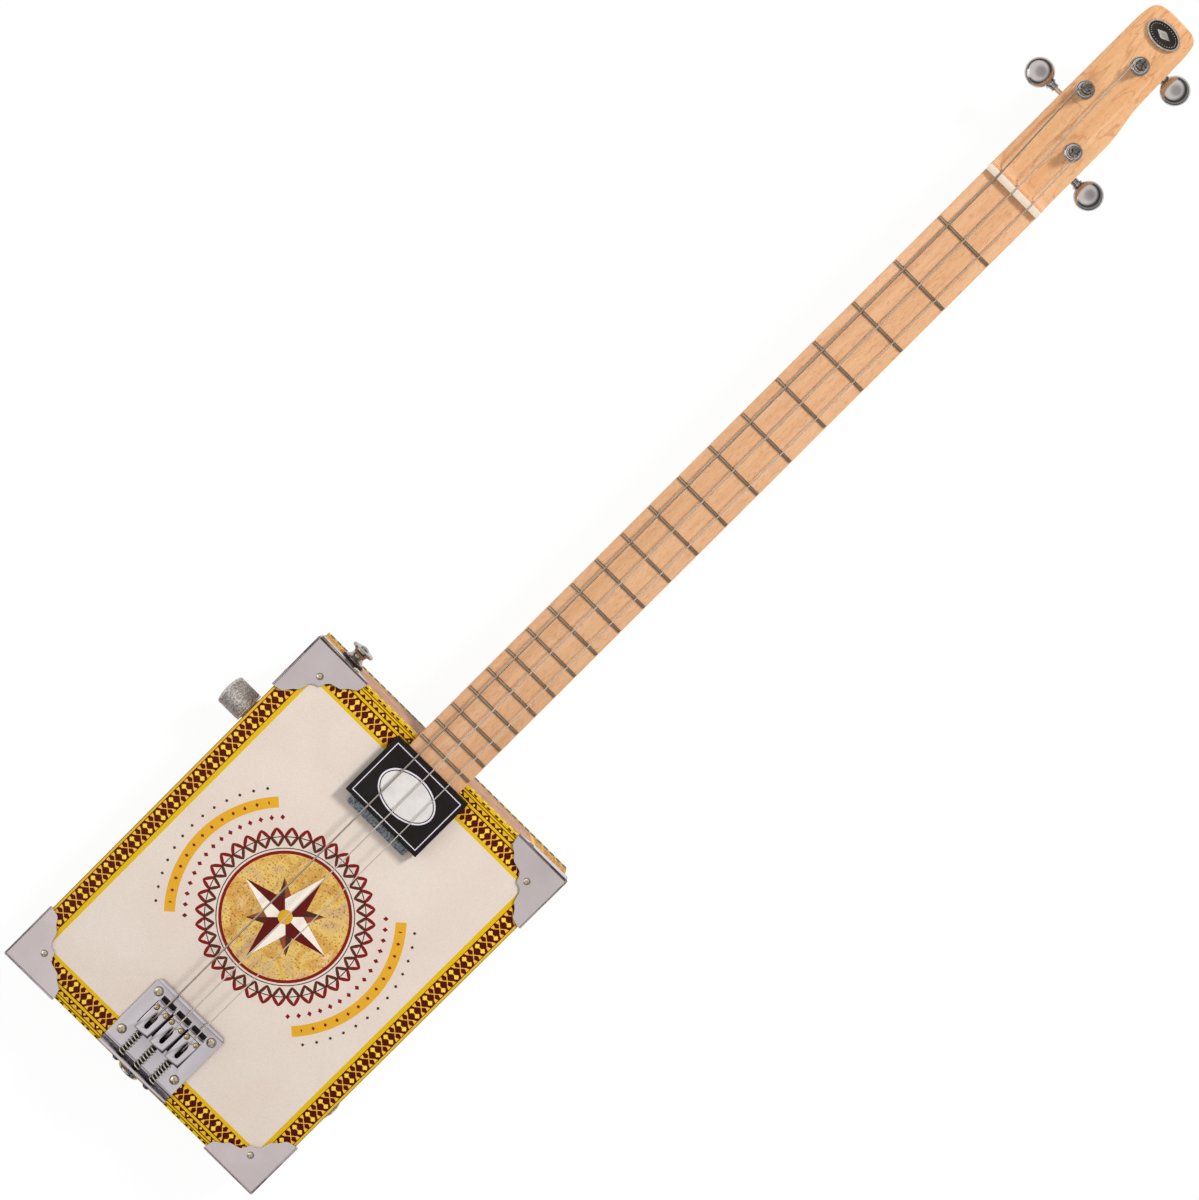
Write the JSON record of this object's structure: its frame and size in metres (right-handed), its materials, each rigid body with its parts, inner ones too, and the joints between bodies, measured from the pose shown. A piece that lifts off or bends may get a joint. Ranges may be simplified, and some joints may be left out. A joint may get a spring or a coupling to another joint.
{
  "type": "cigar box guitar",
  "caption": "Electric guitar with a cigar box body, a straight fretted neck, geared tuners, bent bridge saddles, a flat pickup, a knurled volume knob and metal corner protectors.",
  "frame": {"origin": "the centre of the box's back face", "axes": "+Y along the neck towards the headstock, +Z out of the box's front face, +X across the strings towards the treble string"},
  "size_m": [0.212, 0.8269, 0.0591],
  "materials": {
    "papered_lid": "wood with a printed paper, satin",
    "cedar": "wood with paper edging, satin",
    "maple": "oiled wood, half gloss",
    "fretboard_wood": "wood with metal frets, satin",
    "bone": "polished bone",
    "satin_chrome": "satin plating",
    "chrome": "bright plating",
    "nickel": "nickel plating",
    "spring_steel": "plain drawn wire",
    "black_plastic": "fine grained",
    "pickup_metal": "satin",
    "pewter": "cast, darkened",
    "brass": "turned",
    "felt": "felt",
    "lead_plastic": "insulation"
  },
  "bodies": {
    "guitar": {"lid": "papered_lid", "back_panel": "cedar", "side_bass": "cedar", "side_treble": "cedar", "end_neck": "cedar", "end_tail": "cedar", "protector_front_neck_treble": "satin_chrome", "protector_front_neck_bass": "satin_chrome", "protector_front_tail_bass": "satin_chrome", "protector_front_tail_treble": "satin_chrome", "neck": "maple", "fretboard": "fretboard_wood", "nut": "bone", "tuner_plate_bass": "chrome", "tuner_plate_middle": "chrome", "tuner_plate_treble": "chrome", "post_bushing_bass": "chrome", "post_bushing_middle": "chrome", "post_bushing_treble": "chrome", "bridge_plate": "satin_chrome", "intonation_spring_bass": "spring_steel", "intonation_spring_middle": "spring_steel", "intonation_spring_treble": "spring_steel", "string_bass": "nickel", "string_middle": "spring_steel", "string_treble": "spring_steel", "string_anchor": "nickel", "pickup_base": "pickup_metal", "pickup_cover": "black_plastic", "volume_pot": "nickel", "output_jack": "nickel", "strap_button_neck_end": "chrome", "strap_button_tail_end": "chrome", "strap_washer_neck_end": "felt", "strap_washer_tail_end": "felt", "headstock_plaque": "pewter", "pickup_lead": "lead_plastic", "output_lead": "lead_plastic", "ground_lead": "lead_plastic"},
    "tuner_bass": {"worm_shaft_bass": "nickel", "tuner_button_bass": "chrome"},
    "tuner_middle": {"worm_shaft_middle": "nickel", "tuner_button_middle": "chrome"},
    "tuner_treble": {"worm_shaft_treble": "nickel", "tuner_button_treble": "chrome"},
    "post_bass": {"tuner_post_bass": "chrome"},
    "post_middle": {"tuner_post_middle": "chrome"},
    "post_treble": {"tuner_post_treble": "chrome"},
    "saddle_body_bass": {"saddle_bass": "satin_chrome"},
    "saddle_body_middle": {"saddle_middle": "satin_chrome"},
    "saddle_body_treble": {"saddle_treble": "satin_chrome"},
    "intonation_bass": {"intonation_screw_bass": "nickel"},
    "intonation_middle": {"intonation_screw_middle": "nickel"},
    "intonation_treble": {"intonation_screw_treble": "nickel"},
    "volume": {"pot_shaft": "brass", "volume_knob": "chrome"}
  },
  "joints": [
    {"name": "tuner_turn_bass", "type": "hinge", "parent": "guitar", "child": "tuner_bass", "pos_m": [-0.0112, 0.6223, 0.0276], "axis": [1, 0, 0], "continuous": true},
    {"name": "tuner_turn_middle", "type": "hinge", "parent": "guitar", "child": "tuner_middle", "pos_m": [0.0007, 0.6672, 0.0276], "axis": [1, 0, 0], "continuous": true},
    {"name": "tuner_turn_treble", "type": "hinge", "parent": "guitar", "child": "tuner_treble", "pos_m": [0.0081, 0.5941, 0.0276], "axis": [1, 0, 0], "continuous": true},
    {"name": "post_turn_bass", "type": "hinge", "parent": "guitar", "child": "post_bass", "pos_m": [-0.0112, 0.63, 0.0276], "axis": [0, 0, 1], "continuous": true},
    {"name": "post_turn_middle", "type": "hinge", "parent": "guitar", "child": "post_middle", "pos_m": [0.0007, 0.6595, 0.0276], "axis": [0, 0, 1], "continuous": true},
    {"name": "post_turn_treble", "type": "hinge", "parent": "guitar", "child": "post_treble", "pos_m": [0.0081, 0.6018, 0.0276], "axis": [0, 0, 1], "continuous": true},
    {"name": "intonation_turn_bass", "type": "hinge", "parent": "guitar", "child": "intonation_bass", "pos_m": [-0.0117, -0.1208, 0.0517], "axis": [0, 1, 0], "range_deg": [0, 2520]},
    {"name": "intonation_turn_middle", "type": "hinge", "parent": "guitar", "child": "intonation_middle", "pos_m": [0, -0.1208, 0.0517], "axis": [0, 1, 0], "range_deg": [0, 2520]},
    {"name": "intonation_turn_treble", "type": "hinge", "parent": "guitar", "child": "intonation_treble", "pos_m": [0.0117, -0.1208, 0.0517], "axis": [0, 1, 0], "range_deg": [0, 2520]},
    {"name": "saddle_slide_bass", "type": "slide", "parent": "guitar", "child": "saddle_body_bass", "axis": [0, -1, 0], "range_m": [0, 0.0035], "deforming": ["intonation_spring_bass", "string_bass"]},
    {"name": "saddle_slide_middle", "type": "slide", "parent": "guitar", "child": "saddle_body_middle", "axis": [0, -1, 0], "range_m": [0, 0.0035], "deforming": ["intonation_spring_middle", "string_middle"]},
    {"name": "saddle_slide_treble", "type": "slide", "parent": "guitar", "child": "saddle_body_treble", "axis": [0, -1, 0], "range_m": [0, 0.0035], "deforming": ["intonation_spring_treble", "string_treble"]},
    {"name": "volume_turn", "type": "hinge", "parent": "guitar", "child": "volume", "pos_m": [-0.095, 0.065, 0.023], "axis": [-1, 0, 0], "range_deg": [-150, 150]}
  ],
  "couplings": [
    {"joint": "post_turn_bass", "follows": "tuner_turn_bass", "ratio": -0.071429},
    {"joint": "post_turn_middle", "follows": "tuner_turn_middle", "ratio": 0.071429},
    {"joint": "post_turn_treble", "follows": "tuner_turn_treble", "ratio": -0.071429},
    {"joint": "intonation_turn_bass", "follows": "saddle_slide_bass", "rad_per_m": 12566},
    {"joint": "intonation_turn_middle", "follows": "saddle_slide_middle", "rad_per_m": 12566},
    {"joint": "intonation_turn_treble", "follows": "saddle_slide_treble", "rad_per_m": 12566}
  ]
}
